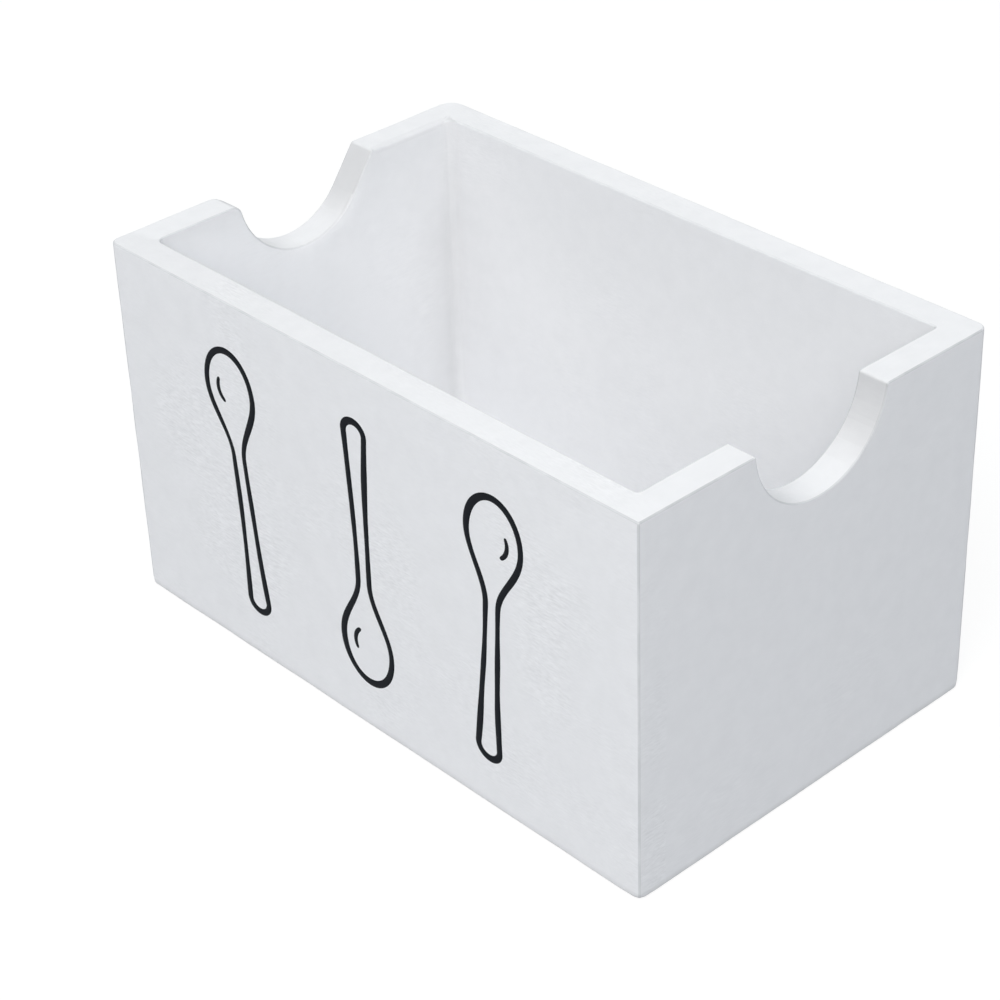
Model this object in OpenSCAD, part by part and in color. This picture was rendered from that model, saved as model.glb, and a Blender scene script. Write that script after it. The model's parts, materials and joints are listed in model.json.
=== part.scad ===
// Sugar packet holder: an open box of five painted boards, pinned with brads, with a finger notch in each end
// Origin: centre of the underside. X runs along the length, the front faces -Y, Z is up

/* [Box] */
// Outside length, left to right
box_l = 136; // [112:1:180]
// Outside depth, front to back
box_w = 85.3; // [72:0.1:110]
// Outside height
box_h = 75.8; // [64:0.1:100]

/* [Boards] */
// Thickness of the four wall boards
wall_t = 6.35; // [5:0.05:9]
// Thickness of the bottom board, which sits between the walls
bottom_t = 6.35; // [5:0.05:9]

/* [Sanded edges] */
// Radius of the four upright outer corners
corner_r = 1.6; // [0.8:0.1:2]
// Radius along the outer edges of the rim and of the underside
edge_r = 1; // [0.5:0.1:1.4]
// Radius along the inner edge of the rim
rim_r = 0.6; // [0.3:0.1:1]

/* [Finger notches] */
// Radius of the half round notch in each end board
notch_r = 16; // [10:0.1:21]
// Height of the notch's centre above the rim
notch_rise = 1.5; // [0:0.1:4]
// Radius of the two ears where a notch meets the rim
ear_r = 1; // [0.4:0.1:2]

/* [Brads] */
// Length of a brad, head included
brad_len = 20; // [14:1:24]
// Diameter of the shank
brad_d = 1.2; // [0.8:0.1:1.6]
// Length of the pointed end
brad_tip = 1.6; // [0.8:0.1:3]
// Diameter of the head
head_d = 2; // [1.8:0.1:2.4]
// Thickness of the head
head_t = 0.6; // [0.4:0.1:1]
// Depth that a head is sunk below the face, filled over with wood filler
head_sunk = 1.2; // [0.8:0.1:2]
// Number of brads in each upright corner
corner_brads = 3; // [2:1:4]
// Height of the lowest corner brad above the underside, and of the highest below the rim
corner_margin = 14; // [11:1:20]
// Distance between the three brads along a long wall, into the bottom board
long_pitch = 40; // [20:1:44]
// Distance between the two brads along a short wall, into the bottom board
short_pitch = 32; // [16:1:36]

/* [Spoon marks] */
// Height of a painted spoon
spoon_h = 55; // [44:1:60]
// Distance between neighbouring spoons
spoon_pitch = 32; // [24:1:38]
// Lean of the two outer spoons, in degrees
spoon_lean = 4; // [0:1:8]
// Width of the bowl, along the middle of the line
bowl_w = 13; // [10:0.5:16]
// Length from the tip of the bowl to its widest place
bowl_tip = 8; // [6:0.5:10]
// Length from the widest place of the bowl to the neck
shoulder_l = 14; // [10:0.5:16]
// Width at the neck, along the middle of the line
neck_w = 3; // [2.5:0.1:4]
// Width at the end of the handle, along the middle of the line
tail_w = 5.4; // [4:0.1:7]
// Length of the rounded end of the handle
tail_l = 2.4; // [1.5:0.1:3]
// Width of the painted line
line_w = 1.4; // [0.8:0.1:2]
// Radius of the short curved line inside the bowl
shine_r = 3.3; // [2.5:0.1:3.6]
// Thickness of the paint
paint_t = 0.12; // [0.08:0.01:0.2]

/* [Hidden] */
// Overrun of the cuts, past the faces that they open
over = 1;
// Half sizes of the space between the walls
bay_x = box_l / 2 - wall_t;
bay_y = box_w / 2 - wall_t;
// Corner brads go into the middle of an end board's thickness, bottom brads into that of the bottom board
corner_x = box_l / 2 - wall_t / 2;
bottom_z = bottom_t / 2;
// Heights of the corner brads
corner_step = (box_h - 2 * corner_margin) / (corner_brads - 1);
corner_heights = [for (i = [0:corner_brads - 1]) corner_margin + i * corner_step];
// Places of the bottom brads along a long wall and along a short one
long_places = [-long_pitch, 0, long_pitch];
short_places = [-short_pitch / 2, short_pitch / 2];
// Half the distance between the middles of the two ears
ear_y = sqrt(pow(notch_r + ear_r, 2) - pow(notch_rise + ear_r, 2));
// Start and end of the short curved line in the bowl, in degrees from the right, and half its width
shine_from = 120;
shine_to = 215;
shine_half_w = line_w / 3;
$fn = 72;

// Rectangle about the origin with round corners
module round_rectangle(width, height, radius) {
    square([width - 2 * radius, height], center = true);
    square([width, height - 2 * radius], center = true);
    for (x = [-1, 1], y = [-1, 1])
        translate([x * (width / 2 - radius), y * (height / 2 - radius)]) circle(radius);
}

// Space that the whole box fills once its outer edges are sanded
module sanded_block() {
    intersection() {
        linear_extrude(box_h) round_rectangle(box_l, box_w, corner_r);
        translate([0, box_w / 2, box_h / 2]) rotate([90, 0, 0])
            linear_extrude(box_w) round_rectangle(box_l, box_h, edge_r);
        translate([-box_l / 2, 0, box_h / 2]) rotate([90, 0, 90])
            linear_extrude(box_l) round_rectangle(box_w, box_h, edge_r);
    }
}

// Section through the top of the bay, which widens to the rim by the radius of its inner edge
module rim_section(half_bay) {
    difference() {
        translate([-half_bay - rim_r, box_h - rim_r]) square([2 * (half_bay + rim_r), rim_r + over]);
        for (side = [-1, 1]) translate([side * (half_bay + rim_r), box_h - rim_r]) circle(rim_r);
    }
}

// What sanding takes off the inner edge of the rim, with mitred corners
module rim_cut() {
    intersection() {
        translate([0, box_w / 2, 0]) rotate([90, 0, 0]) linear_extrude(box_w) rim_section(bay_x);
        translate([-box_l / 2, 0, 0]) rotate([90, 0, 90]) linear_extrude(box_l) rim_section(bay_y);
    }
}

// One brad, driven along -Z from a face that passes through the origin
module brad() {
    translate([0, 0, -head_sunk - head_t]) cylinder(h = head_t, d = head_d);
    translate([0, 0, brad_tip - head_sunk - brad_len])
        cylinder(h = brad_len - brad_tip - head_t, d = brad_d);
    translate([0, 0, -head_sunk - brad_len]) cylinder(h = brad_tip, d1 = 0, d2 = brad_d);
}

// The hole above a sunk head, run out past the face
module plug() {
    translate([0, 0, -head_sunk]) cylinder(h = head_sunk + over, d = head_d);
}

// Places its children on a long wall's face, over the corner at the given side
module at_corner(front, side) {
    for (z = corner_heights)
        translate([side * corner_x, front * box_w / 2, z]) rotate([-front * 90, 0, 0]) children();
}

// Places its children on a long wall's face, along the edge of the bottom board
module at_long_bottom(front) {
    for (x = long_places)
        translate([x, front * box_w / 2, bottom_z]) rotate([-front * 90, 0, 0]) children();
}

// Places its children on a short wall's face, along the edge of the bottom board
module at_short_bottom(side) {
    for (y = short_places)
        translate([side * box_l / 2, y, bottom_z]) rotate([0, side * 90, 0]) children();
}

// A long wall: front is -1 for the front board and 1 for the back board
module long_wall(front) {
    difference() {
        intersection() {
            sanded_block();
            translate([-box_l / 2 - over, (front < 0 ? -box_w / 2 - over : bay_y), -over])
                cube([box_l + 2 * over, wall_t + over, box_h + 2 * over]);
        }
        rim_cut();
        for (side = [-1, 1]) at_corner(front, side) {
            brad();
            plug();
        }
        at_long_bottom(front) {
            brad();
            plug();
        }
    }
}

// Outline of an end board seen from the end, with its notch and the two round ears
module end_section() {
    difference() {
        translate([-bay_y, 0]) square([2 * bay_y, box_h]);
        translate([0, box_h + notch_rise]) circle(notch_r);
        for (side = [0, 1]) mirror([side, 0]) difference() {
            polygon([
                [0, box_h + notch_rise], [ear_y, box_h - ear_r],
                [ear_y, box_h + notch_rise + over], [0, box_h + notch_rise + over]
            ]);
            translate([ear_y, box_h - ear_r]) circle(ear_r);
        }
    }
}

// A short wall: side is -1 for the left and 1 for the right
module end_wall(side) {
    difference() {
        intersection() {
            sanded_block();
            translate([side < 0 ? -box_l / 2 - over : bay_x, 0, 0]) rotate([90, 0, 90])
                linear_extrude(wall_t + over) end_section();
        }
        rim_cut();
        for (front = [-1, 1]) at_corner(front, side) brad();
        at_short_bottom(side) {
            brad();
            plug();
        }
    }
}

module front_board() color("ghostwhite") long_wall(-1);

module back_board() color("ghostwhite") long_wall(1);

module left_end_board() color("whitesmoke") end_wall(-1);

module right_end_board() color("whitesmoke") end_wall(1);

module bottom_board() color("white") {
    difference() {
        translate([-bay_x, -bay_y, 0]) cube([2 * bay_x, 2 * bay_y, bottom_t]);
        for (front = [-1, 1]) at_long_bottom(front) brad();
        for (side = [-1, 1]) at_short_bottom(side) brad();
    }
}

module front_left_brads() color("silver") at_corner(-1, -1) brad();

module front_right_brads() color("silver") at_corner(-1, 1) brad();

module back_left_brads() color("silver") at_corner(1, -1) brad();

module back_right_brads() color("silver") at_corner(1, 1) brad();

module front_bottom_brads() color("silver") at_long_bottom(-1) brad();

module back_bottom_brads() color("silver") at_long_bottom(1) brad();

module left_bottom_brads() color("silver") at_short_bottom(-1) brad();

module right_bottom_brads() color("silver") at_short_bottom(1) brad();

// Filler over every head in a long wall, sanded flush with it
module long_wall_filler(front) {
    intersection() {
        sanded_block();
        union() {
            for (side = [-1, 1]) at_corner(front, side) plug();
            at_long_bottom(front) plug();
        }
    }
}

// Filler over every head in a short wall
module end_wall_filler(side) {
    intersection() {
        sanded_block();
        at_short_bottom(side) plug();
    }
}

module front_filler() color("linen") long_wall_filler(-1);

module back_filler() color("linen") long_wall_filler(1);

module left_filler() color("linen") end_wall_filler(-1);

module right_filler() color("linen") end_wall_filler(1);

// Right half of a spoon's line, from the tip of its bowl at the origin up to the end of its handle
spoon_half = concat(
    [for (a = [0:10:90]) [bowl_w / 2 * sin(a), bowl_tip * (1 - cos(a))]],
    [for (u = [0.1:0.1:1]) [
        neck_w / 2 + (bowl_w - neck_w) / 4 * (1 + cos(180 * u)),
        bowl_tip + shoulder_l * u
    ]],
    [for (u = [0.25:0.25:1]) [
        neck_w / 2 + (tail_w - neck_w) / 2 * u * u,
        bowl_tip + shoulder_l + (spoon_h - bowl_tip - shoulder_l - tail_l) * u
    ]],
    [for (a = [15:15:90]) [tail_w / 2 * cos(a), spoon_h - tail_l * (1 - sin(a))]]
);
spoon_line = concat(
    spoon_half,
    [for (i = [len(spoon_half) - 2:-1:1]) [-spoon_half[i][0], spoon_half[i][1]]]
);

// A closed line moved outwards by a distance, or inwards by a negative one
function moved(line, distance) = [
    for (i = [0:len(line) - 1])
        let (before = line[(i + len(line) - 1) % len(line)], after = line[(i + 1) % len(line)])
        let (way = (after - before) / norm(after - before))
        line[i] + distance * [way[1], -way[0]]
];

// One spoon in outline, its bowl at the bottom, about its own middle
module spoon_outline() {
    translate([0, -spoon_h / 2]) {
        difference() {
            polygon(moved(spoon_line, line_w / 2));
            polygon(moved(spoon_line, -line_w / 2));
        }
        translate([0, bowl_tip]) {
            intersection() {
                difference() {
                    circle(shine_r + shine_half_w);
                    circle(shine_r - shine_half_w);
                }
                polygon([
                    [0, 0],
                    for (a = [shine_from, (shine_from + shine_to) / 2, shine_to])
                        2 * bowl_w * [cos(a), sin(a)]
                ]);
            }
            for (a = [shine_from, shine_to]) rotate(a) translate([shine_r, 0]) circle(shine_half_w);
        }
    }
}

// A spoon painted on the front board: across is its place, turn its turn from bowl down
module spoon_mark(across, turn) {
    translate([across, -box_w / 2, box_h / 2]) rotate([90, 0, 0])
        linear_extrude(paint_t) rotate(turn) spoon_outline();
}

module left_spoon_mark() color("black") mirror([1, 0, 0]) spoon_mark(spoon_pitch, 180 - spoon_lean);

module middle_spoon_mark() color("black") spoon_mark(0, 0);

module right_spoon_mark() color("black") spoon_mark(spoon_pitch, 180 - spoon_lean);

front_board();
back_board();
left_end_board();
right_end_board();
bottom_board();
front_left_brads();
front_right_brads();
back_left_brads();
back_right_brads();
front_bottom_brads();
back_bottom_brads();
left_bottom_brads();
right_bottom_brads();
front_filler();
back_filler();
left_filler();
right_filler();
left_spoon_mark();
middle_spoon_mark();
right_spoon_mark();
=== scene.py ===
import json
import math
import bpy
import bmesh
from mathutils import Matrix, Vector, noise

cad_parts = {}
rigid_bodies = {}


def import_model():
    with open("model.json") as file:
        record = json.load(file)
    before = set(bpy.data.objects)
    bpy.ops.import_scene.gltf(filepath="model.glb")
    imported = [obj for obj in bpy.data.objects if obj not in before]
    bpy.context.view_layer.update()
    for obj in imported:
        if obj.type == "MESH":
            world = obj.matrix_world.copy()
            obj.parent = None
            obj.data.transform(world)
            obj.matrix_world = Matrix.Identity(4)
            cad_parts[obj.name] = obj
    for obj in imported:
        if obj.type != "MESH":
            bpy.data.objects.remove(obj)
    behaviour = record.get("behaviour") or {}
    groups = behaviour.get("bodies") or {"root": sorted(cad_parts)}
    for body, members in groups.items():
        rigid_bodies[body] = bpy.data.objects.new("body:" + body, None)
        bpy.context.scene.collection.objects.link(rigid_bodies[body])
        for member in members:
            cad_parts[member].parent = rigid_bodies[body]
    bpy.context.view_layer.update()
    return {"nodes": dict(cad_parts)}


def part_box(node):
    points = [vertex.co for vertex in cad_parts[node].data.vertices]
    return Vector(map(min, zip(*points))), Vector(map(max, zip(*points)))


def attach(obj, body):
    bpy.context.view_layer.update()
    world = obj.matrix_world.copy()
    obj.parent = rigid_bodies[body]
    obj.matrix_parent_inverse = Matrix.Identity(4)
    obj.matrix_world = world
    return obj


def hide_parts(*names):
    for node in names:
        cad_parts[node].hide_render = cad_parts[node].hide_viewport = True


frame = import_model()
print("frame loaded:", len(frame["nodes"]), "nodes")

scene = bpy.context.scene
mm = 0.001

# sizes that everything follows, read off the frame
frontLow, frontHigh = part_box("front_board")
floorLow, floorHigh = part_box("bottom_board")
size = {
    "halfX": frontHigh.x,
    "halfY": -frontLow.y,
    "height": frontHigh.z,
    "bayX": floorHigh.x,        # half the space between the end boards
    "bayY": floorHigh.y,        # half the space between the long boards
    "floor": floorHigh.z,
}
wall = size["halfX"] - size["bayX"]


# camera

photoView = {
    "azimuth": 47.9487,
    "elevation": 32.7736,
    "roll": -2.082,
    "distance": 0.49135,
    "aimRight": -0.00678,       # how far the lens axis passes beside the box's middle
    "aimUp": -0.00681,
    "lens": 95.798,
    "sensor": 36.0,
}


def addCamera(view):
    data = bpy.data.cameras.new("photoCamera")
    data.lens = view["lens"]
    data.sensor_width = view["sensor"]
    data.clip_start = 0.01
    data.clip_end = 20
    camera = bpy.data.objects.new("photoCamera", data)
    scene.collection.objects.link(camera)
    turn = (Matrix.Rotation(math.radians(view["azimuth"]), 4, "Z")
            @ Matrix.Rotation(math.radians(90 - view["elevation"]), 4, "X")
            @ Matrix.Rotation(math.radians(view["roll"]), 4, "Z"))
    middle = Vector((0, 0, size["height"] / 2))
    offset = turn @ Vector((view["aimRight"], view["aimUp"], view["distance"]))
    camera.matrix_world = Matrix.Translation(middle + offset) @ turn
    scene.camera = camera


addCamera(photoView)
print("camera placed")


# the painted box, shaped as one body and then parted into its boards

boxShape = {
    "cornerRadius": {           # plan radius of the upright corners, (left or right, front or back)
        (-1, -1): 1.8 * mm,
        (1, 1): 2.0 * mm,
        (-1, 1): 3.2 * mm,
    },
    "notches": {
        # centre of the round part, along the depth and above the rim, its radius, the rounding of the
        # front ear, and the slope at which the back goes on straight up to the rim
        -1: (-1.68 * mm, 1.28 * mm, 15 * mm, 2.4 * mm, math.radians(35.9)),
        1: (0, 1.5 * mm, 16 * mm, 0, None),
    },
    "notchSteps": 40,
    "earSteps": 7,
    "cutterOver": 3 * mm,       # how far the notch cutter stands over the rim
    "backEar": 15.9 * mm,       # where the left notch's straight side meets the rim
    "frontEar": -17.1 * mm,     # middle of its front ear
    "knockedEar": (0.45 * mm, 3 * mm),      # depth and reach, on the outer corner of the front ear
    "easedNotch": (0.5 * mm, 2.6 * mm),     # and on its inner edge, but for the ears
    "easedFrom": -9 * mm,       # the inner edge is eased from here to the back
    "easedUnder": 4.5 * mm,     # and up to this far under the rim
    "easedRunOut": 3 * mm,
    "edge": 0.6 * mm,           # rounding of every other edge
    "insideCorner": {           # paint gathered in the upright inside corners
        (-1, -1): 1.6 * mm,
        (-1, 1): 2.4 * mm,
        (1, -1): 0.6 * mm,
        (1, 1): 0.6 * mm,
    },
    "floorFillet": 0.4 * mm,
    "rubbedRim": (0.5 * mm, 2.3 * mm),      # depth and reach, on the left end's inner rim behind the notch
    "rubbedEnds": (1.6 * mm, mm),           # how far from the ear and from the corner it starts and ends
    "knockedFoot": (0.5 * mm, 2.6 * mm),    # depth and reach, on the four lower corners
    "gridStep": 3 * mm,
    "fineStep": mm,             # beside the eased inner edge
    "fineTo": 16 * mm,          # the last of these rows to the back
    "fineDown": 17 * mm,        # and under the rim
    "faceWave": 0.03 * mm,
    "faceWaveLength": 16 * mm,
    "edgeWave": 0.09 * mm,
    "edgeWaveLength": 9 * mm,
    "grooveHalf": 0.35 * mm,    # seam between the bottom board and the walls, on the underside
    "grooveDepth": 0.22 * mm,
}


def near(a, b, gap=0.02 * mm):
    return abs(a - b) < gap


def bevelEdges(bm, edges, radius, segments):
    return bmesh.ops.bevel(bm, geom=edges, offset=radius, offset_type="OFFSET", affect="EDGES",
                           segments=segments, profile=0.5, material=-1, clamp_overlap=True)


def meshFrom(bm, name):
    mesh = bpy.data.meshes.new(name)
    bm.to_mesh(mesh)
    bm.free()
    return mesh


def linked(name, mesh):
    piece = bpy.data.objects.new(name, mesh)
    scene.collection.objects.link(piece)
    return piece


def openBox():
    bm = bmesh.new()
    bmesh.ops.create_cube(bm, size=1)
    bmesh.ops.scale(bm, vec=(2 * size["halfX"], 2 * size["halfY"], size["height"]), verts=bm.verts)
    bmesh.ops.translate(bm, vec=(0, 0, size["height"] / 2), verts=bm.verts)
    top = max(bm.faces, key=lambda f: f.calc_center_median().z)
    bmesh.ops.inset_region(bm, faces=[top], thickness=wall, use_even_offset=True)
    made = bmesh.ops.extrude_face_region(bm, geom=[top])
    bmesh.ops.delete(bm, geom=[top], context="FACES")
    sunk = [v for v in made["geom"] if isinstance(v, bmesh.types.BMVert)]
    bmesh.ops.translate(bm, vec=(0, 0, size["floor"] - size["height"]), verts=sunk)
    bmesh.ops.recalc_face_normals(bm, faces=bm.faces)
    return linked("openBox", meshFrom(bm, "openBox"))


def spinEdge(bm, edge, centre, angle, steps):
    swept = bmesh.ops.spin(bm, geom=list(edge.verts) + [edge], cent=centre, axis=(1, 0, 0),
                           angle=angle, steps=steps)
    return next(e for e in swept["geom_last"] if isinstance(e, bmesh.types.BMEdge))


def extruded(bm, edges, step):
    made = bmesh.ops.extrude_edge_only(bm, edges=edges)["geom"]
    corners = [v for v in made if isinstance(v, bmesh.types.BMVert)]
    bmesh.ops.translate(bm, vec=step, verts=corners)
    moved = [e for e in made if isinstance(e, bmesh.types.BMEdge) and all(v in corners for v in e.verts)]
    return moved[0], corners


def cutNotches(box, shape):
    bm = bmesh.new()
    top = size["height"]
    for side in (-1, 1):
        along, above, radius, ear, straight = shape["notches"][side]
        slope = math.asin((above + ear) / (radius + ear))
        start = along - (radius + ear) * math.cos(slope)
        end = straight or math.asin(above / radius)
        middle = side * (size["halfX"] - wall / 2)
        first = bm.edges.new([bm.verts.new((middle + step * wall, start, top)) for step in (-1, 1)])
        last = first
        if ear:
            last = spinEdge(bm, last, (0, start, top - ear), slope - math.pi / 2, shape["earSteps"])
        last = spinEdge(bm, last, (0, along, top + above), math.pi - slope - end, shape["notchSteps"])
        if straight:
            foot = last.verts[0].co.copy()
            last = extruded(bm, [last], (0, shape["backEar"] - foot.y, top - foot.z))[0]
        corners = extruded(bm, [first, last], (0, 0, shape["cutterOver"]))[1]
        bmesh.ops.contextual_create(bm, geom=corners)
        bmesh.ops.holes_fill(bm, edges=[e for e in bm.edges if e.is_boundary], sides=0)
    bmesh.ops.recalc_face_normals(bm, faces=bm.faces)
    print("notch cutter:", sum(1 for e in bm.edges if not e.is_manifold), "open edges")
    cutter = linked("notchCutter", meshFrom(bm, "notchCutter"))
    cut = box.modifiers.new("notches", "BOOLEAN")
    cut.operation = "DIFFERENCE"
    cut.solver = "EXACT"
    cut.object = cutter
    graph = bpy.context.evaluated_depsgraph_get()
    bm = bmesh.new()
    bm.from_mesh(box.evaluated_get(graph).to_mesh())
    bpy.data.objects.remove(cutter)
    bpy.data.objects.remove(box)
    bmesh.ops.remove_doubles(bm, verts=bm.verts, dist=0.02 * mm)
    return bm


def uprightEdges(bm, x, y):
    return [e for e in bm.edges if all(near(v.co.x, x) and near(v.co.y, y) for v in e.verts)]


def roundEdges(bm, shape):
    for (side, front), radius in shape["cornerRadius"].items():
        bevelEdges(bm, uprightEdges(bm, side * size["halfX"], front * size["halfY"]), radius, 6)
    for (side, front), radius in shape["insideCorner"].items():
        edges = uprightEdges(bm, side * size["bayX"], front * size["bayY"])
        bevelEdges(bm, edges, radius, 3 if radius < mm else 6)
    inside = [e for e in bm.edges
              if all(near(v.co.z, size["floor"]) for v in e.verts) and e.calc_face_angle(0) > 0.8]
    bevelEdges(bm, inside, shape["floorFillet"], 3)
    sharp = [e for e in bm.edges if len(e.link_faces) == 2 and e.calc_face_angle() > 0.9]
    print("edges to round:", len(inside), "inside", len(sharp), "others, shortest",
          round(min(e.calc_length() for e in sharp) / mm, 2), "mm")
    bevelEdges(bm, sharp, shape["edge"], 5)


def sliceAll(bm, axis, places, keepTo=None):
    normal = Vector((0, 0, 0))
    normal[axis] = 1
    for place in places:
        faces = [f for f in bm.faces if keepTo is None or keepTo(f)]
        edges = {e for f in faces for e in f.edges}
        verts = {v for f in faces for v in f.verts}
        bmesh.ops.bisect_plane(bm, geom=list(verts) + list(edges) + faces, dist=0.005 * mm,
                               plane_co=normal * place, plane_no=normal)


def gridPlaces(low, high, step):
    count = round((high - low) / step)
    return [low + (high - low) * (i + 0.5) / count for i in range(count)]


def byRubbedRim(face, reach):
    middle = face.calc_center_median()
    return middle.y > 0 and abs(middle.x + size["bayX"]) < reach and middle.z > size["height"] - reach


def byNotchEdge(face, shape):
    middle = face.calc_center_median()
    onFace = near(middle.x, -size["bayX"]) and middle.y > shape["easedFrom"] - mm
    return onFace and fromNotch(middle, shape) < shape["easedNotch"][1] + 0.9 * mm


def gridBody(bm, shape):
    for axis, half, bay in ((0, size["halfX"], size["bayX"]), (1, size["halfY"], size["bayY"])):
        sliceAll(bm, axis, gridPlaces(-half, half, shape["gridStep"]) + [-bay, bay])
    sliceAll(bm, 2, gridPlaces(0, size["height"], shape["gridStep"]))
    half = shape["grooveHalf"]
    for axis, place in ((0, size["bayX"]), (1, size["bayY"])):
        beside = [side * place + step for side in (-1, 1) for step in (-half, half)]
        sliceAll(bm, axis, beside, lambda f: all(near(v.co.z, 0) for v in f.verts))
    # finer rows beside the rubbed rim and the left notch's eased inner edge
    reach = shape["rubbedRim"][1]
    for axis, place in ((0, -size["bayX"]), (2, size["height"])):
        rows = [place - reach * share for share in (0.5, 1)]
        sliceAll(bm, axis, rows, lambda f: byRubbedRim(f, reach + mm))
    top = size["height"]
    for axis, low, high in ((1, shape["easedFrom"], shape["fineTo"]), (2, top - shape["fineDown"], top - mm)):
        sliceAll(bm, axis, gridPlaces(low, high, shape["fineStep"]), lambda f: byNotchEdge(f, shape))


boardNames = ("front_board", "back_board", "left_end_board", "right_end_board", "bottom_board")


def boardAt(place, shape):
    gap = 0.01 * mm
    if abs(place.y) > size["bayY"] - gap:
        return 0 if place.y < 0 else 1
    if abs(place.x) > size["bayX"] - gap or place.z > size["floor"] + shape["floorFillet"]:
        return 2 if place.x < 0 else 3
    return 4


def onSeam(place):
    alongLong = near(abs(place.y), size["bayY"]) and abs(place.x) < size["halfX"] - 2.2 * mm
    alongEnd = near(abs(place.x), size["bayX"]) and abs(place.y) < size["bayY"] + 0.02 * mm
    return near(place.z, 0) and (alongLong or alongEnd)


def fade(place, start, end, reach):
    # 1 on the line from start to end, 0 at this reach from it
    along = (end - start).length_squared
    share = min(1, max(0, (place - start).dot(end - start) / along)) if along else 0
    return max(0, 1 - (place - start.lerp(end, share)).length / reach) ** 2


def onRubbedRim(place, shape):
    fromEar, fromCorner = shape["rubbedEnds"]
    start = Vector((-size["bayX"], shape["backEar"] + fromEar, size["height"]))
    end = Vector((-size["bayX"], size["bayY"] - fromCorner, size["height"]))
    return fade(place, start, end, shape["rubbedRim"][1])


def rubbed(place, shape):
    move = Vector((-1, 0, -1)).normalized() * shape["rubbedRim"][0] * onRubbedRim(place, shape)
    depth, reach = shape["knockedFoot"]
    for side in (-1, 1):
        for front in (-1, 1):
            foot = Vector((side * size["halfX"], front * size["halfY"], 0))
            move += Vector((-side, -front, 1)).normalized() * depth * fade(place, foot, foot, reach)
    depth, reach = shape["knockedEar"]
    ear = Vector((-size["halfX"], shape["frontEar"], size["height"]))
    move += Vector((1, -1, -1)).normalized() * depth * fade(place, ear, ear, reach)
    depth, reach = shape["easedNotch"]
    gap = Vector((place.x + size["bayX"], fromNotch(place, shape))).length
    if place.x < 0 and gap < reach:
        insideEnds = (place.y - shape["easedFrom"], size["height"] - shape["easedUnder"] - place.z)
        share = min(1, *[max(0, within / shape["easedRunOut"]) for within in insideEnds])
        into = Vector([fromNotch(place + step, shape) - fromNotch(place, shape)
                       for step in (Vector(), Vector((0, mm, 0)), Vector((0, 0, mm)))]) / mm
        move += (into - Vector((1, 0, 0))).normalized() * depth * share * (1 - gap / reach) ** 2
    return move


def fromNotch(place, shape):
    # distance into the wood from the notch of the nearer end
    along, above, radius, _, straight = shape["notches"][-1 if place.x < 0 else 1]
    aside, up = place.y - along, place.z - size["height"] - above
    if straight and aside * math.sin(straight) + up * math.cos(straight) > 0 and aside > 0:
        return aside * math.cos(straight) - up * math.sin(straight) - radius
    return math.hypot(aside, up) - radius


def inBay(place):
    gap = 0.02 * mm
    return abs(place.x) < size["bayX"] + gap and abs(place.y) < size["bayY"] + gap


# the coat of paint: 1 in keeps is paint that never wears through, 1 in tone is the plain paint's brightness,
# and tones above or below it are mostly painted light and shade

paintCoat = {
    "keeps": {
        "backCorner": 0.7,      # the wide upright corners at the back
        "notch": 0.35,
        "easedNotch": 0.85,
        "innerRim": 0.45,
    },
    "cornerKeeps": 3 * mm,      # this far from an inside corner the paint is whole right up to the rim
    "rubbedRimDull": 0.035,     # how much darker the rubbed rim is
    "easedShade": 0.08,          # and painted shade over the highlight on the left notch's eased inner edge
    "shadedFoot": 0.45,         # painted contact shade on the rounded lower edges
    "dullRim": 0.045,           # the front rim towards its left end
    "inside": {                 # painted light inside: tone at the rim, its painted brightening with depth, the rise's power, painted shade in the corners
        "end": (0.995, 0.105, 0.5, 0.22),
        "back": (0.917, 0.075, 2, 0.05),
    },
    "riseDepth": 0.7,           # depths are shares of the box's height
    "backCorners": (8 * mm, 0.35),          # painted corner shade: reach, and the depth at which it is in full
    "frontCorners": (22 * mm, 0.1, -0.45),  # these two get painted light instead, brighter by this share of the painted shade
    "bounced": (0.28, 25 * mm),             # light from the floor low in the back corners, and its reach
    "cornerShade": (0.05, 3 * mm, 1.6),        # painted shade in the corners, its reach and how fast it comes in
}


def keepsPaint(place, shape, coat):
    keeps = coat["keeps"]
    edge = shape["edge"]
    hair = 0.1 * mm
    for (side, front), radius in shape["cornerRadius"].items():
        if side * place.x > size["halfX"] - radius and front * place.y > size["halfY"] - radius:
            return keeps["backCorner"] if front > 0 else 0
    if fromNotch(place, shape) < edge + hair:
        eased = -size["bayX"] - edge - hair < place.x < 0 and place.y > shape["easedFrom"]
        return keeps["easedNotch"] if eased else keeps["notch"]
    inCorner = max(size["bayX"] - abs(place.x), size["bayY"] - abs(place.y)) < coat["cornerKeeps"]
    depth = edge * (0.5 if inCorner else 2)
    if inBay(place) and place.z < size["height"] - depth:
        return 1
    innerRim = inBay(place - Vector((math.copysign(edge, place.x), math.copysign(edge, place.y), 0)))
    return max(keeps["innerRim"] if innerRim else 0, min(1, 2 * onRubbedRim(place, shape)))


def outsideTone(place, shape, coat):
    # painted contact shade on the rounded lower edges
    foot = max(0, 1 - place.z / shape["edge"]) if place.z > 0.01 * mm else 0
    # painted shade over the highlight on the left notch's eased inner edge
    left, right = -size["bayX"] - shape["edge"], -size["bayX"] - 0.05 * mm
    eased = left < place.x < right and place.y > shape["easedFrom"]
    eased = eased and 0.02 * mm < fromNotch(place, shape) < shape["edge"]
    onFrontRim = place.y < -size["bayY"] and near(place.z, size["height"])
    dull = coat["dullRim"] * min(1, max(0, 0.5 - place.x / size["halfX"])) if onFrontRim else 0
    rubbedDull = coat["rubbedRimDull"] * onRubbedRim(place, shape)
    return 1 - dull - rubbedDull - coat["shadedFoot"] * foot - (coat["easedShade"] if eased else 0)


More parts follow.
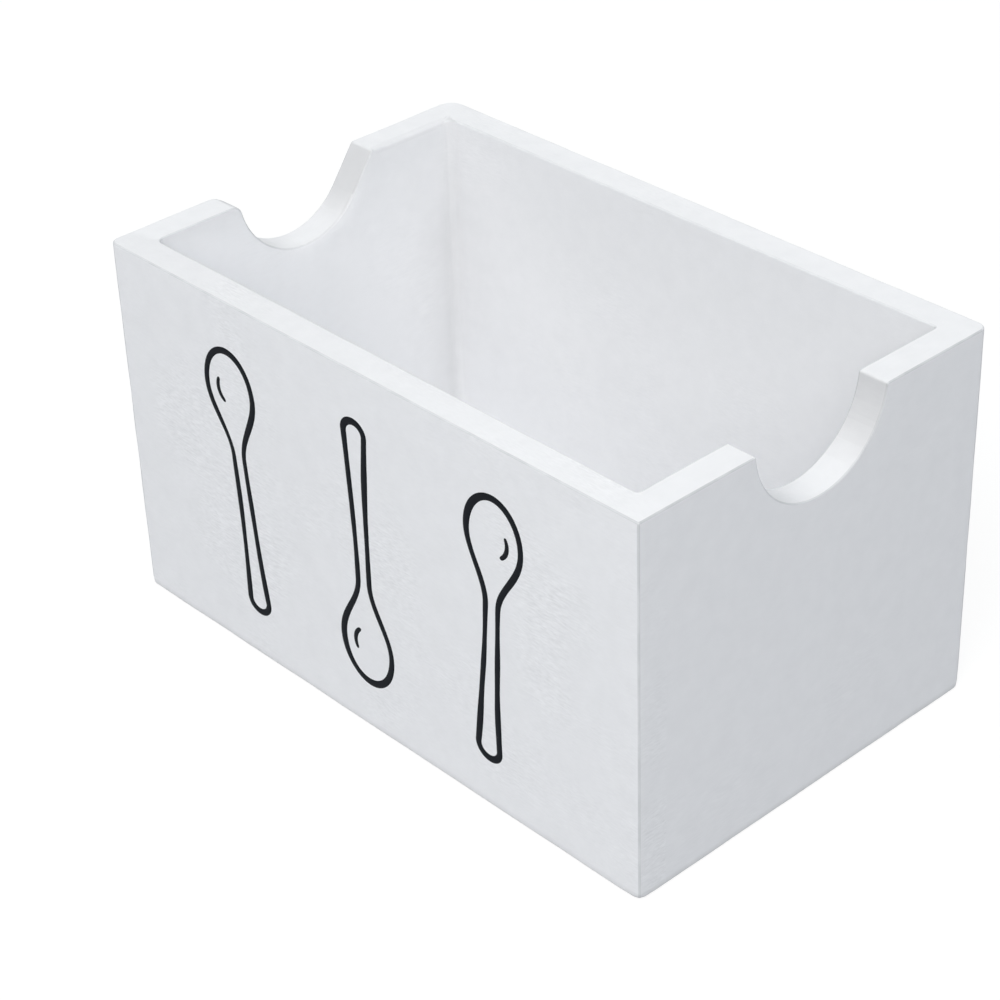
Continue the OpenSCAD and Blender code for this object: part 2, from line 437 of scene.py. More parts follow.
def insideTone(place, shape, coat):
    # painted light that whitens with depth, and painted shade towards the upright corners at the back
    depth = (size["height"] - place.z) / size["height"]
    aside = math.hypot(size["bayX"] - abs(place.x), size["bayY"] - abs(place.y))
    tones = []
    for top, rise, power, dull in coat["inside"].values():
        reach, full = coat["backCorners"]
        corner = math.exp(-aside / reach) * min(1, depth / full)
        if place.y < 0:
            reach, full, share = coat["frontCorners"]
            corner = share * math.exp(-aside / reach) * min(1, depth / full)
        tones.append((top + rise * min(1, depth / coat["riseDepth"]) ** power) * (1 - dull * corner))
    radius = shape["insideCorner"][-1, 1]
    onBack = min(1, max(0, 1 - (size["bayY"] - place.y) / radius))
    strength, reach = coat["bounced"]
    lit = strength * depth ** 3 * math.exp(-aside / reach) * onBack
    blend = tones[0] + (tones[1] - tones[0]) * onBack + lit
    strength, reach, speed = coat["cornerShade"]
    cornerShade = strength * min(1, speed * max(0, 1 - aside / reach))
    return blend - cornerShade - coat["rubbedRimDull"] * onRubbedRim(place, shape)


def paintedLightAndShade(place, shape, coat):
    inside = inBay(place) and place.z >= size["floor"] + shape["floorFillet"] / 2
    return (insideTone if inside else outsideTone)(place, shape, coat)


def markAndWave(bm, shape, coat):
    board = bm.faces.layers.int.new("board")
    still = bm.verts.layers.float_vector.new("still")
    skin = bm.verts.layers.float_vector.new("skinNormal")
    sawn = bm.verts.layers.float.new("sawnNotch")
    kept = bm.verts.layers.float.new("keptPaint")
    tone = bm.verts.layers.float.new("paintedLightAndShade")
    bm.normal_update()
    for f in bm.faces:
        f[board] = boardAt(f.calc_center_median(), shape)
        f.smooth = True
    moves = []
    for v in bm.verts:
        v[still] = v.co
        v[sawn] = min(1, max(0, 1.15 - fromNotch(v.co, shape) / shape["edge"]))
        v[kept] = keepsPaint(v.co, shape, coat)
        v[tone] = paintedLightAndShade(v.co, shape, coat)
        turn = max((e.calc_face_angle(0) for e in v.link_edges if e.is_convex), default=0)
        move = shape["faceWave"] * noise.noise(v.co / shape["faceWaveLength"])
        if turn > 0.1:
            worn = noise.noise(v.co / shape["edgeWaveLength"] + Vector((7, 3, 5)))
            move -= shape["edgeWave"] * max(0, worn + 0.15)
        place = v.normal * move + rubbed(v.co, shape)
        if onSeam(v.co):
            place = Vector((0, 0, shape["grooveDepth"]))
        moves.append(place)
    for v, move in zip(bm.verts, moves):
        v.co += move
    bm.normal_update()
    for v in bm.verts:
        v[skin] = sum((f.normal * f.calc_area() ** 2 for f in v.link_faces), Vector()).normalized()


def pathBetween(start, goal, stops, rims):
    for first in [e for e in start.link_edges if e in rims]:
        path = [first]
        at = first.other_vert(start)
        while at not in stops:
            path.append(next(e for e in at.link_edges if e in rims and e is not path[-1]))
            at = path[-1].other_vert(at)
        if at is goal:
            return path


def fillFlat(bm, edges):
    made = bmesh.ops.triangle_fill(bm, edges=edges, use_beauty=True, use_dissolve=False)["geom"]
    return [f for f in made if isinstance(f, bmesh.types.BMFace)]


def closeBoard(bm, index, shape):
    still = bm.verts.layers.float_vector["still"]
    rims = [e for e in bm.edges if e.is_boundary]
    for e in rims:
        e.smooth = False
    if index == 4:
        return bmesh.ops.bridge_loops(bm, edges=rims)["faces"]
    if index < 2:
        return fillFlat(bm, rims)
    side = -1 if index == 2 else 1
    points = {v for e in rims for v in e.verts}
    pairs = []
    for front in (-1, 1):
        foot = Vector((side * size["bayX"], front * size["bayY"], 0))
        head = Vector((side * (size["bayX"] - shape["insideCorner"][side, front]), front * size["bayY"],
                       size["floor"] + shape["floorFillet"]))
        pairs.append([min(points, key=lambda v: (v[still] - spot).length) for spot in (foot, head)])
    stops = {v for pair in pairs for v in pair}
    caps = [pathBetween(foot, head, stops, set(rims)) for foot, head in pairs]
    joins = [bm.edges.new(pair) for pair in pairs]
    used = {e for cap in caps for e in cap}
    faces = fillFlat(bm, [e for e in rims if e not in used] + joins)
    for cap, join in zip(caps, joins):
        faces += fillFlat(bm, cap + [join])
        join.smooth = False
    return faces


def takeBoard(whole, index, shape):
    bm = whole.copy()
    board = bm.faces.layers.int["board"]
    skin = bm.verts.layers.float_vector["skinNormal"]
    bmesh.ops.delete(bm, geom=[f for f in bm.faces if f[board] != index], context="FACES")
    caps = closeBoard(bm, index, shape)
    for f in caps:
        f[board] = -1
        f.smooth = True
    bmesh.ops.recalc_face_normals(bm, faces=bm.faces)
    bm.normal_update()
    normals = [f.normal.copy() if f[board] < 0 else v[skin].copy() for f in bm.faces for v in f.verts]
    open_ = sum(1 for e in bm.edges if not e.is_manifold)
    print(" ", boardNames[index], len(bm.faces), "faces,", len(caps), "hidden,", open_, "open edges,",
          round(bm.calc_volume() * 1e6, 2), "cm3")
    mesh = meshFrom(bm, boardNames[index] + "_painted")
    mesh.normals_split_custom_set(normals)
    for name in ("board", "still", "skinNormal"):
        mesh.attributes.remove(mesh.attributes[name])
    piece = linked(boardNames[index] + "_painted", mesh)
    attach(piece, "root")
    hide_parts(boardNames[index])
    return piece


print("painted box:")
whole = cutNotches(openBox(), boxShape)
roundEdges(whole, boxShape)
gridBody(whole, boxShape)
markAndWave(whole, boxShape, paintCoat)
print("one body:", len(whole.verts), "points,", len(whole.faces), "faces,",
      round(whole.calc_volume() * 1e6, 2), "cm3")
boards = [takeBoard(whole, index, boxShape) for index in range(len(boardNames))]
whole.free()


# brush lines of the three spoons on the front

spoonShape = {
    "length": 55 * mm,
    "bowlWidth": 13 * mm,
    "bowlTip": 8 * mm,          # from the end of the bowl to its widest place
    "shoulder": 14 * mm,        # from there to the neck
    "neck": 3 * mm,
    "tailWidth": 5.4 * mm,
    "tailLength": 2.4 * mm,
    "line": 1.4 * mm,
    "shineRadius": 3.3 * mm,
    "shineFrom": 120,
    "shineTo": 215,
    "shineLine": 0.93 * mm,
    "shineSteps": 30,
    "shineEnd": (9.6, 0.03),    # how fast its line comes to full width, and the least share, squared
    "shineBelly": (0.85, 0.3),  # the line's width at its ends and what the middle has more
    "raised": 0.11 * mm,
    "inside": 0.05 * mm,        # how far the paint goes into the board's face
    "wobble": 0.16 * mm,
    "wobbleLength": 14 * mm,
    "wobbleSeed": 1795998369,   # without a seed the clock draws other lines at each run
    "swell": 0.2,               # share by which the line swells and thins
    "swellTurns": 1.6,          # how fast, against the wobble
    "swellNoise": 1.4,
    "swellEnds": 0.35,          # the line is a little wider at both ends
    "turns": {"left_spoon_mark": (-1, 176), "middle_spoon_mark": (1, 0), "right_spoon_mark": (1, 176)},
}


def spoonHalf(shape):
    points = []
    neck, bowl, tail = shape["neck"] / 2, shape["bowlWidth"] / 2, shape["tailWidth"] / 2
    shoulderTop = shape["bowlTip"] + shape["shoulder"]
    for i in range(18):
        a = math.radians(5 * i)
        points.append(Vector((bowl * math.sin(a), shape["bowlTip"] * (1 - math.cos(a)))))
    for i in range(24):
        u = i / 24
        points.append(Vector((neck + (bowl - neck) / 2 * (1 + math.cos(math.pi * u)),
                              shape["bowlTip"] + shape["shoulder"] * u)))
    straight = shape["length"] - shape["tailLength"] - shoulderTop
    for i in range(28):
        u = i / 28
        points.append(Vector((neck + (tail - neck) * u * u, shoulderTop + straight * u)))
    for i in range(13):
        a = math.radians(7.5 * i)
        points.append(Vector((tail * math.cos(a), shape["length"] - shape["tailLength"] * (1 - math.sin(a)))))
    return points


def brushLine(points, widths, closed, name):
    data = bpy.data.curves.new(name, "CURVE")
    data.dimensions = "3D"
    data.twist_mode = "Z_UP"
    data.bevel_depth = 1
    data.bevel_resolution = 4
    data.use_fill_caps = not closed
    line = data.splines.new("POLY")
    line.points.add(len(points) - 1)
    for spot, place, width in zip(line.points, points, widths):
        spot.co = (place.x, place.y, 0, 1)
        spot.radius = width / 2
    line.use_cyclic_u = closed
    drawn = linked(name, data)
    mesh = bpy.data.meshes.new_from_object(drawn.evaluated_get(bpy.context.evaluated_depsgraph_get()))
    bpy.data.objects.remove(drawn)
    return mesh


def spoonMark(name, shape):
    low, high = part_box(name)
    mirror, turn = shape["turns"][name]
    seed = Vector((low.x * 400, 2, 9))
    half = spoonHalf(shape)
    outline = half + [Vector((-p.x, p.y)) for p in reversed(half[1:-1])]
    swells = []
    for p in outline:
        loose = noise.noise(Vector((p.x, p.y, 0)) / shape["wobbleLength"] * shape["swellTurns"] + seed)
        ends = math.cos(math.tau * (p.y / shape["length"]))
        swells.append(1 + shape["swell"] * (loose * shape["swellNoise"] + shape["swellEnds"] * ends))
    shine = []
    shineWidths = []
    steps = shape["shineSteps"]
    speed, least = shape["shineEnd"]
    thin, belly = shape["shineBelly"]
    for i in range(steps + 1):
        a = math.radians(shape["shineFrom"] + (shape["shineTo"] - shape["shineFrom"]) * i / steps)
        fromTip = Vector((math.cos(a), math.sin(a))) * shape["shineRadius"]
        shine.append(fromTip + Vector((0, shape["bowlTip"])))
        short = max(0, 1 - speed * min(i, steps - i) / steps)
        shineWidths.append(shape["shineLine"] * math.sqrt(max(least, 1 - short ** 2))
                           * (thin + belly * math.sin(math.pi * i / steps)))
    bm = bmesh.new()
    outlineWidths = [shape["line"] * s for s in swells]
    for points, widths, closed in ((outline, outlineWidths, True), (shine, shineWidths, False)):
        placed = []
        for p in points:
            drift = noise.noise_vector(Vector((p.x, p.y, 0)) / shape["wobbleLength"] + seed) * shape["wobble"]
            placed.append(Vector((p.x + drift.x, p.y + drift.y)))
        bm.from_mesh(brushLine(placed, widths, closed, name + "_line"))
    bmesh.ops.scale(bm, vec=(1, 1, shape["raised"] / (shape["line"] / 2)), verts=bm.verts)
    bmesh.ops.remove_doubles(bm, verts=bm.verts, dist=0.002 * mm)
    bmesh.ops.bisect_plane(bm, geom=bm.verts[:] + bm.edges[:] + bm.faces[:], dist=0.001 * mm,
                           plane_co=(0, 0, -shape["inside"]), plane_no=(0, 0, 1), clear_inner=True)
    rims = [e for e in bm.edges if e.is_boundary]
    for e in rims:
        e.smooth = False
    bmesh.ops.triangle_fill(bm, edges=rims, use_beauty=True, use_dissolve=False)
    middle = Vector(((low.x + high.x) / 2, high.y, (low.z + high.z) / 2))
    place = (Matrix.Translation(middle) @ Matrix.Diagonal((mirror, 1, 1, 1))
             @ Matrix.Rotation(math.pi / 2, 4, "X") @ Matrix.Rotation(math.radians(turn), 4, "Z")
             @ Matrix.Translation((0, -shape["length"] / 2, 0)))
    bmesh.ops.transform(bm, matrix=place, verts=bm.verts)
    bmesh.ops.recalc_face_normals(bm, faces=bm.faces)
    for f in bm.faces:
        f.smooth = True
    open_ = sum(1 for e in bm.edges if not e.is_manifold)
    print(" ", name, len(bm.faces), "faces,", open_, "open edges,", round(bm.calc_volume() * 1e9, 2), "mm3")
    piece = linked(name + "_paint", meshFrom(bm, name + "_paint"))
    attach(piece, "root")
    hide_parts(name)
    return piece


print("spoons:")
noise.seed_set(spoonShape["wobbleSeed"])
spoons = [spoonMark(name, spoonShape) for name in spoonShape["turns"]]


# filler over the brad heads, a hair below the paint

fillerShape = {
    "radius": 0.98 * mm,
    "deep": 1.2 * mm,
    "under": 0.18 * mm,         # paint over the filler
    "dish": 0.06 * mm,          # filler shrinks hollow as it dries
    "margin": 14 * mm,          # from the rim and from the underside to the nearest corner plug
    "longPlaces": (-40 * mm, 0, 40 * mm),
    "shortPlaces": (-16 * mm, 16 * mm),
}


def fillerPlug(bm, at, outward, shape):
    turn = Vector(outward).to_track_quat("Z", "Y").to_matrix().to_4x4()
    base = Matrix.Translation(Vector(at) - Vector(outward) * shape["deep"]) @ turn
    disc = bmesh.ops.create_circle(bm, cap_ends=True, segments=28, radius=shape["radius"], matrix=base)
    face = disc["verts"][0].link_faces[0]
    made = bmesh.ops.extrude_face_region(bm, geom=[face], use_keep_orig=True)["geom"]
    lifted = [v for v in made if isinstance(v, bmesh.types.BMVert)]
    bmesh.ops.translate(bm, vec=Vector(outward) * (shape["deep"] - shape["under"]), verts=lifted)
    top = [f for f in made if isinstance(f, bmesh.types.BMFace)]
    for share in (0.45, 0.45):
        bmesh.ops.inset_region(bm, faces=top, thickness=shape["radius"] * share)
        bmesh.ops.translate(bm, vec=Vector(outward) * -shape["dish"] / 2, verts=top[0].verts)


def fillerNode(name, places, outward, shape):
    bm = bmesh.new()
    for at in places:
        fillerPlug(bm, at, outward, shape)
    bmesh.ops.recalc_face_normals(bm, faces=bm.faces)
    for e in bm.edges:
        e.smooth = not e.is_manifold or e.calc_face_angle() < 0.6
    for f in bm.faces:
        f.smooth = True
    open_ = sum(1 for e in bm.edges if not e.is_manifold)
    print(" ", name, len(places), "plugs,", open_, "open edges,", round(bm.calc_volume() * 1e9, 2), "mm3")
    piece = linked(name + "_plugs", meshFrom(bm, name + "_plugs"))
    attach(piece, "root")
    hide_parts(name)
    return piece


print("filler:")
fillers = []
cornerX = size["halfX"] - wall / 2
upright = (fillerShape["margin"], size["height"] / 2, size["height"] - fillerShape["margin"])
for name, front in (("front_filler", -1), ("back_filler", 1)):
    places = [(side * cornerX, front * size["halfY"], z) for side in (-1, 1) for z in upright]
    places += [(x, front * size["halfY"], size["floor"] / 2) for x in fillerShape["longPlaces"]]
    fillers.append(fillerNode(name, places, (0, front, 0), fillerShape))
for name, side in (("left_filler", -1), ("right_filler", 1)):
    places = [(side * size["halfX"], y, size["floor"] / 2) for y in fillerShape["shortPlaces"]]
    fillers.append(fillerNode(name, places, (side, 0, 0), fillerShape))


# finishes

paintFinish = {
    "pale": (0.914, 0.918, 0.934),
    "dark": (0.851, 0.856, 0.873),
    "worn": (0.63, 0.64, 0.655),        # thin paint on the edges lets the wood through; this dark also serves as painted shade over the rounded edges' highlights
    "streaks": {                # length and width on the long boards and on the ends
        "long": (1.5 * mm, 0.32 * mm),
        "end": (2.6 * mm, 0.42 * mm),
    },
    "streakWaver": 0.9 * mm,
    "streakShare": 0.5,         # the rest of the tone is mottle
    "mottleSize": 4 * mm,
    "streakHeight": 0.0045 * mm,
    "mottleHeight": 0.01 * mm,
    "toneRange": (0.25, 0.75),  # tones of the dark and the pale paint
    "roughness": (0.5, 0.66),
    "roughRange": (0.3, 0.7),   # tones of the rough and the smooth paint
    "wornShine": 0.08,          # how much smoother rubbed edges are
    "sideways": (0.45, 0.75),   # part of the normal at which strokes turn with the face
    "notchShade": 0.71,           # painted shade on the notch surfaces: the share of their colour that is left
    "notchShadeSlow": (0, -0.92),     # the painted shade comes in where the notch faces the front, half of it slowly and half fast
    "notchShadeFast": (-0.35, -0.9),
    "ior": 1.47,
}
frontFinish = {                 # the brush marks show more on the front
    "pale": (0.953, 0.958, 0.975),
    "dark": (0.813, 0.818, 0.834),
    "streakShare": 0.75,
    "streakHeight": 0.012 * mm,
}
floorFinish = {                 # paler paint on the box's floor, painted light: it lifts the light bounced onto the inner walls
    "pale": (0.955, 0.96, 0.972),
    "dark": (0.905, 0.91, 0.925),
}
blackFinish = {
    "colours": ((0.0035, 0.0045, 0.007), (0.009, 0.011, 0.015)),
    "roughness": (0.5, 0.62),
    "grain": (900, 900, 900),
    "height": 0.006 * mm,
    "metallic": 0.0,
    "specular": 0.06,
}
steelFinish = {
    "colours": ((0.6, 0.61, 0.62), (0.48, 0.485, 0.49)),
    "roughness": (0.28, 0.42),
    "grain": (9000, 300, 9000),     # drawn along the depth
    "height": 0.002 * mm,
    "metallic": 1.0,
    "specular": 0.5,
}
fillerFinish = {
    "colours": ((0.81, 0.82, 0.83), (0.74, 0.75, 0.76)),
    "roughness": (0.66, 0.8),
    "grain": (2500, 2500, 2500),
    "height": 0.01 * mm,
    "metallic": 0.0,
    "specular": 0.5,
}
brushMarks = {
    "driftScale": 75,
    "patchScale": 38,
    "patchRange": (0.45, 0.7),
    "strength": (0.12, 0.85),   # of the strokes, between the patches and in them
    "contrast": 1.9,
}
edgeRubAndShade = {
    "turned": (0.95, 0.999),    # largest part of the normal, rubbed in full and not at all
    "besideNotch": (0.1, 0.35),
    "spots": (0.38, 0.62, 0.75, 1.0),
}


def addNode(tree, kind, inputs=None, **settings):
    made = tree.nodes.new(kind)
    for name, value in settings.items():
        setattr(made, name, value)
    for name, value in (inputs or {}).items():
        if isinstance(value, bpy.types.NodeSocket):
            tree.links.new(value, made.inputs[name])
        else:
            made.inputs[name].default_value = value
    return made


def addMath(tree, operation, *values):
    return addNode(tree, "ShaderNodeMath", dict(enumerate(values)), operation=operation).outputs[0]


def addVectorMath(tree, operation, inputs):
    return addNode(tree, "ShaderNodeVectorMath", inputs, operation=operation).outputs[0]


def addBump(tree, height, distance):
    inputs = {"Strength": 1.0, "Distance": distance, "Height": height}
    return addNode(tree, "ShaderNodeBump", inputs).outputs[0]


def addRange(tree, value, low, high, toLow=0.0, toHigh=1.0, kind="SMOOTHSTEP"):
    return addNode(tree, "ShaderNodeMapRange", {0: value, 1: low, 2: high, 3: toLow, 4: toHigh},
                   interpolation_type=kind).outputs[0]


def addNoise(tree, place, scale, detail, roughness=0.5):
    return addNode(tree, "ShaderNodeTexNoise",
                   {"Vector": place, "Scale": scale, "Detail": detail, "Roughness": roughness}).outputs


def mixColour(tree, share, first, second):
    made = addNode(tree, "ShaderNodeMix", {0: share}, data_type="RGBA")
    for index, value in ((6, first), (7, second)):
        if isinstance(value, bpy.types.NodeSocket):
            tree.links.new(value, made.inputs[index])
        else:
            made.inputs[index].default_value = (*value, 1)
    return made.outputs[2]


def newGroup(name, inputs, outputs):
    group = bpy.data.node_groups.new(name, "ShaderNodeTree")
    for label, kind, value in inputs:
        socket = group.interface.new_socket(name=label, in_out="INPUT", socket_type=kind)
        socket.default_value = value
    for label in outputs:
        group.interface.new_socket(name=label, in_out="OUTPUT", socket_type="NodeSocketFloat")
    start = group.nodes.new("NodeGroupInput")
    end = group.nodes.new("NodeGroupOutput")
    return group, start.outputs, end.inputs


def grainGroup(marks):
    # fine strokes that run one way, stronger in some patches than in others
    group, given, result = newGroup("strokeGrain", (
        ("Place", "NodeSocketVector", (0, 0, 0)),
        ("Stretch", "NodeSocketVector", (200, 2000, 2000)),
        ("Waver", "NodeSocketFloat", 0.0005)), ("Strokes",))
    slow = addNoise(group, given["Place"], marks["driftScale"], 1)["Color"]
    centred = addVectorMath(group, "SUBTRACT", {0: slow, 1: (0.5, 0.5, 0.5)})
    drift = addVectorMath(group, "SCALE", {0: centred, "Scale": given["Waver"]})
    moved = addVectorMath(group, "ADD", {0: given["Place"], 1: drift})
    drawn = addVectorMath(group, "MULTIPLY", {0: moved, 1: given["Stretch"]})
    fine = addNoise(group, drawn, 1, 3, 0.55)[0]
    patches = addNoise(group, given["Place"], marks["patchScale"], 2)[0]
    patches = addRange(group, patches, *marks["patchRange"])
    strength = addRange(group, patches, 0, 1, *marks["strength"], "LINEAR")
    centredFine = addMath(group, "MULTIPLY", addMath(group, "SUBTRACT", fine, 0.5), strength)
    strokes = addMath(group, "MULTIPLY_ADD", centredFine, marks["contrast"], 0.5)
    group.links.new(addNode(group, "ShaderNodeClamp", {0: strokes}).outputs[0], result["Strokes"])
    return group


def wearAndShadeGroup(rubAndShade):
    # how far an edge has been rubbed, where the surface turns from one face to the next; the same mask lays
    # painted shade over the edges' highlights
    group, given, result = newGroup("edgeWearAndShade", (
        ("Place", "NodeSocketVector", (0, 0, 0)),
        ("Facing", "NodeSocketVector", (0, 0, 1)),
        ("Sawn", "NodeSocketFloat", 0.0),
        ("Size", "NodeSocketFloat", 160.0)), ("WearAndShade",))
    parts = addNode(group, "ShaderNodeSeparateXYZ", {0: given["Facing"]}).outputs
    sizes = [addMath(group, "ABSOLUTE", parts[axis]) for axis in "XYZ"]
    largest = addMath(group, "MAXIMUM", addMath(group, "MAXIMUM", sizes[0], sizes[1]), sizes[2])
    turned = addRange(group, largest, *rubAndShade["turned"], 1.0, 0.0)
    besideNotch = addMath(group, "MAXIMUM", addMath(group, "SUBTRACT", 1.0, given["Sawn"]),
                          addRange(group, sizes[0], *rubAndShade["besideNotch"]))
    spots = addRange(group, addNoise(group, given["Place"], given["Size"], 3)[0], *rubAndShade["spots"])
    group.links.new(addMath(group, "MULTIPLY", addMath(group, "MULTIPLY", turned, besideNotch), spots),
                    result["WearAndShade"])
    return group


strokeGrain = grainGroup(brushMarks)
edgeWearAndShade = wearAndShadeGroup(edgeRubAndShade)


def newMaterial(name):
    material = bpy.data.materials.new(name)
    material.use_nodes = True
    tree = material.node_tree
    shader = tree.nodes["Principled BSDF"]
    place = tree.nodes.new("ShaderNodeTexCoord").outputs
    return material, tree, shader, place


def addGroup(tree, group, **inputs):
    made = tree.nodes.new("ShaderNodeGroup")
    made.node_tree = group
    for name, value in inputs.items():
        if isinstance(value, bpy.types.NodeSocket):
            tree.links.new(value, made.inputs[name])
        else:
            made.inputs[name].default_value = value
    return made.outputs


def paintedWood(name, finish, kind):
    # on an end, strokes on the level faces run along the box's width, not its length
    material, tree, shader, place = newMaterial(name)
    spot = place["Object"]
    long, thin = [1 / reach for reach in finish["streaks"][kind]]
    waver = finish["streakWaver"]
    lengthwise = addGroup(tree, strokeGrain, Place=spot, Stretch=(long, thin, thin), Waver=waver)
    widthwise = addGroup(tree, strokeGrain, Place=spot, Stretch=(thin, long, thin), Waver=waver)
    facing = addNode(tree, "ShaderNodeSeparateXYZ", {0: place["Normal"]}).outputs
    across = addRange(tree, addMath(tree, "ABSOLUTE", facing["X"]), *finish["sideways"])
    if kind == "end":
        level = addRange(tree, addMath(tree, "ABSOLUTE", facing["Z"]), *finish["sideways"])
        across = addMath(tree, "MAXIMUM", across, level)
    strokes = addNode(tree, "ShaderNodeMix", {0: across, 2: lengthwise["Strokes"], 3: widthwise["Strokes"]},
                      data_type="FLOAT").outputs[0]
    mottle = addNoise(tree, spot, 1 / finish["mottleSize"], 3, 0.6)[0]
    share = finish["streakShare"]
    streaky = addMath(tree, "MULTIPLY", strokes, share)
    tone = addMath(tree, "ADD", streaky, addMath(tree, "MULTIPLY", mottle, 1 - share))
    pale = addRange(tree, tone, *finish["toneRange"], kind="LINEAR")
    colour = mixColour(tree, pale, finish["dark"], finish["pale"])
    sawn = addNode(tree, "ShaderNodeAttribute", attribute_name="sawnNotch").outputs["Fac"]
    # edge wear, together with painted shade over the rounded edges' highlights, pulls the colour towards the
    # worn colour
    wearAndShade = addGroup(tree, edgeWearAndShade, Place=spot, Facing=place["Normal"], Sawn=sawn)["WearAndShade"]
    kept = addNode(tree, "ShaderNodeAttribute", attribute_name="keptPaint").outputs["Fac"]
    wearAndShade = addMath(tree, "MULTIPLY", wearAndShade, addMath(tree, "SUBTRACT", 1.0, kept))
    colour = mixColour(tree, wearAndShade, colour, finish["worn"])
    # painted shade: notch surfaces that face the front are darkened
    notchFacingShade = addMath(tree, "ADD", addRange(tree, facing["Y"], *finish["notchShadeSlow"], 0, 0.5, "LINEAR"),
                    addRange(tree, facing["Y"], *finish["notchShadeFast"], 0, 0.5))
    colour = addNode(tree, "ShaderNodeMix", {0: addMath(tree, "MULTIPLY", sawn, notchFacingShade), 6: colour,
                                             7: (*[finish["notchShade"]] * 3, 1)},
                     data_type="RGBA", blend_type="MULTIPLY").outputs[2]
    # the tone attribute scales the colour: painted light deep inside, painted shade in the corners and on the
    # lower edges, and darker rims
    shade = addNode(tree, "ShaderNodeAttribute", attribute_name="paintedLightAndShade").outputs["Fac"]
    colour = addVectorMath(tree, "SCALE", {0: colour, "Scale": shade})
    smooth, matt = finish["roughness"]
    rough = addRange(tree, tone, *finish["roughRange"], matt, smooth, "LINEAR")
    tree.links.new(colour, shader.inputs["Base Color"])
    rough = addMath(tree, "MULTIPLY_ADD", wearAndShade, -finish["wornShine"], rough)
    tree.links.new(rough, shader.inputs["Roughness"])
    shader.inputs["IOR"].default_value = finish["ior"]
    height = addMath(tree, "ADD", addMath(tree, "MULTIPLY", strokes, finish["streakHeight"] / mm),
                     addMath(tree, "MULTIPLY", mottle, finish["mottleHeight"] / mm))
    tree.links.new(addBump(tree, height, mm), shader.inputs["Normal"])
    return material


def simpleFinish(name, finish):
    material, tree, shader, place = newMaterial(name)
    grain = addGroup(tree, strokeGrain, Place=place["Object"], Stretch=finish["grain"], Waver=0.3 * mm)
    strokes = grain["Strokes"]
    tree.links.new(mixColour(tree, strokes, *finish["colours"]), shader.inputs["Base Color"])
    rough = addRange(tree, strokes, 0.2, 0.8, *finish["roughness"], "LINEAR")
    tree.links.new(rough, shader.inputs["Roughness"])
    shader.inputs["Metallic"].default_value = finish["metallic"]
    shader.inputs["Specular IOR Level"].default_value = finish["specular"]
    tree.links.new(addBump(tree, strokes, finish["height"]), shader.inputs["Normal"])
    return material


def dress(piece, material):
    piece.data.materials.clear()
    piece.data.materials.append(material)


longPaint = paintedWood("paintedWoodLong", paintFinish, "long")
frontPaint = paintedWood("paintedWoodFront", {**paintFinish, **frontFinish}, "long")
endPaint = paintedWood("paintedWoodEnd", paintFinish, "end")
floorPaint = paintedWood("paintedWoodFloor", {**paintFinish, **floorFinish}, "long")
for piece, paint in zip(boards, (frontPaint, longPaint, endPaint, endPaint, floorPaint)):
    dress(piece, paint)
black = simpleFinish("brushedBlack", blackFinish)
for piece in spoons:
    dress(piece, black)
fillerPaint = simpleFinish("sandedFiller", fillerFinish)
for piece in fillers:
    dress(piece, fillerPaint)
longSteel = simpleFinish("drawnSteelAcross", steelFinish)
endSteel = simpleFinish("drawnSteelAlong", {**steelFinish, "grain": (300, 9000, 9000)})
for name, node in frame["nodes"].items():
    if name.endswith("_brads"):
        steel = endSteel if name.startswith(("left_bottom", "right_bottom")) else longSteel
        for spot in node.material_slots:
            spot.material = steel
print("finishes on")


# floor, surroundings and lamps

studio = {
    "floorHalf": 2.5,
    "floorDrop": 0.1 * mm,
    "floorColour": (0.373, 0.385, 0.412),
    "floorShown": (0.228, 0.228, 0.226),    # the lit floor's share of what the camera sees of it
    "floorGlow": 0.82,                      # and the plain white's share
    "world": (0.404, 0.431, 0.458),
    "lamps": {                  # place, size in metres, watts, colour
        "keyLamp": ((0.661, -1.1, 1.115), 1.2, 13.2, (1.03, 1.007, 0.975)),
        "leftLamp": ((-0.546, -0.946, 1.302), 1.0, 4.4, (1.02, 1.003, 0.965)),
        "rightLamp": ((1.13, -0.411, 1.202), 1.0, 4.7, (1.02, 1.003, 0.975)),
        "behindLamp": ((-1.0, 1.25, 0.55), 1.0, 3.2, (1.03, 1.01, 0.95)),
    },
}


def shownShare(tree):
    path = tree.nodes.new("ShaderNodeLightPath").outputs
    seen = addMath(tree, "MAXIMUM", path["Is Camera Ray"], path["Is Glossy Ray"])
    return addMath(tree, "MAXIMUM", seen, path["Is Transmission Ray"])


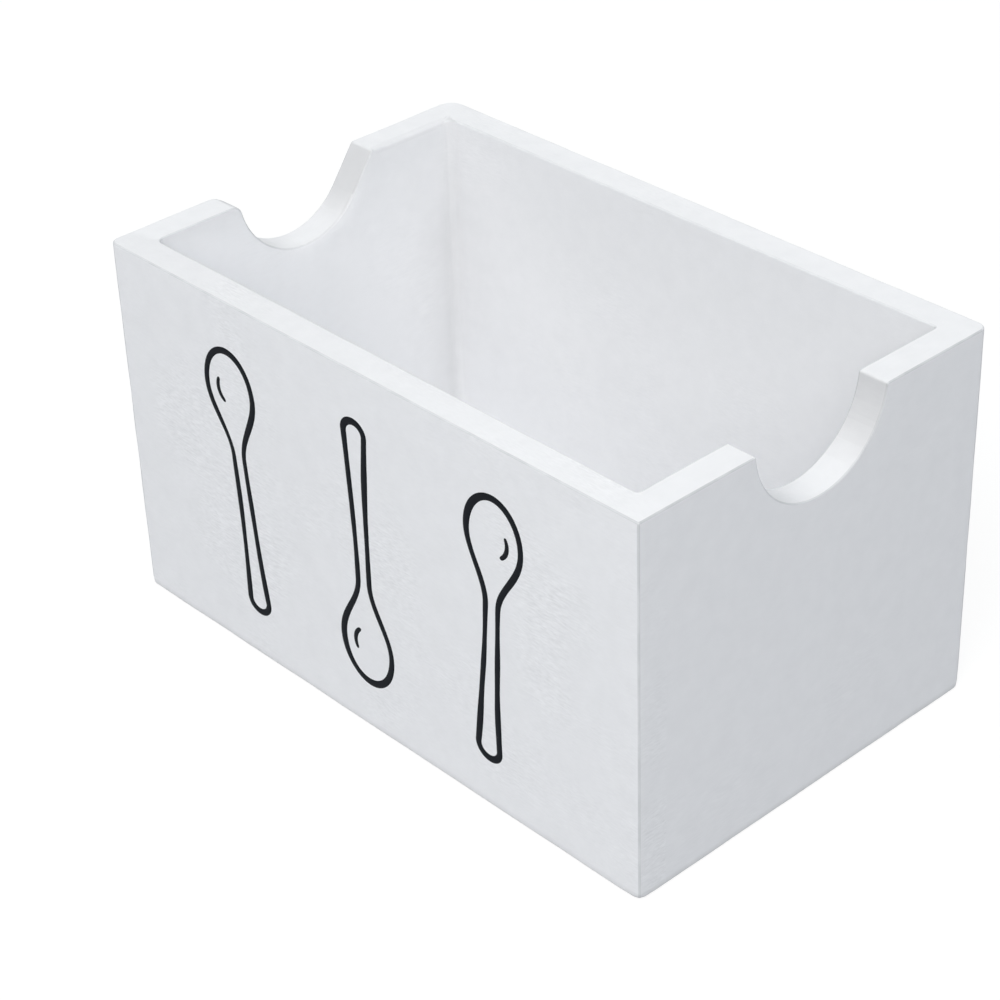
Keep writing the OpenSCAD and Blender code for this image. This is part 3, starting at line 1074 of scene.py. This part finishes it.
def addFloor(look):
    bm = bmesh.new()
    bmesh.ops.create_grid(bm, x_segments=1, y_segments=1, size=look["floorHalf"])
    bmesh.ops.translate(bm, vec=(0, 0, -look["floorDrop"]), verts=bm.verts)
    floor = linked("floor", meshFrom(bm, "floor"))
    material = bpy.data.materials.new("paleFloor")
    material.use_nodes = True
    tree = material.node_tree
    tree.nodes.remove(tree.nodes["Principled BSDF"])
    plain = addNode(tree, "ShaderNodeBsdfDiffuse", {"Color": (*look["floorColour"], 1)}).outputs[0]
    faint = addNode(tree, "ShaderNodeBsdfDiffuse", {"Color": (*look["floorShown"], 1)}).outputs[0]
    glow = addNode(tree, "ShaderNodeEmission", {"Strength": look["floorGlow"]}).outputs[0]
    shown = addNode(tree, "ShaderNodeAddShader", {0: faint, 1: glow}).outputs[0]
    mixed = addNode(tree, "ShaderNodeMixShader", {0: shownShare(tree), 1: plain, 2: shown}).outputs[0]
    tree.links.new(mixed, tree.nodes["Material Output"].inputs["Surface"])
    floor.data.materials.append(material)


def addSurroundings(look):
    world = bpy.data.worlds.new("studioAir")
    scene.world = world
    world.use_nodes = True
    tree = world.node_tree
    lit = tree.nodes["Background"]
    lit.inputs["Color"].default_value = (*look["world"], 1)
    lit.inputs["Strength"].default_value = 1
    white = addNode(tree, "ShaderNodeBackground", {"Color": (1, 1, 1, 1), "Strength": 1.0}).outputs[0]
    mixed = addNode(tree, "ShaderNodeMixShader", {0: shownShare(tree), 1: lit.outputs[0], 2: white})
    tree.links.new(mixed.outputs[0], tree.nodes["World Output"].inputs["Surface"])


def addLamp(name, place, width, watts, colour):
    data = bpy.data.lights.new(name, "AREA")
    data.shape = "DISK"
    data.size = width
    data.energy = watts
    data.color = colour
    lamp = bpy.data.objects.new(name, data)
    scene.collection.objects.link(lamp)
    aim = Vector((0, 0, size["height"] / 2)) - Vector(place)
    lamp.matrix_world = Matrix.Translation(place) @ aim.to_track_quat("-Z", "Y").to_matrix().to_4x4()


addFloor(studio)
addSurroundings(studio)
for name, (place, width, watts, colour) in studio["lamps"].items():
    addLamp(name, place, width, watts, colour)
scene.view_settings.view_transform = "Standard"
scene.cycles.use_denoising = True
print("studio lit")
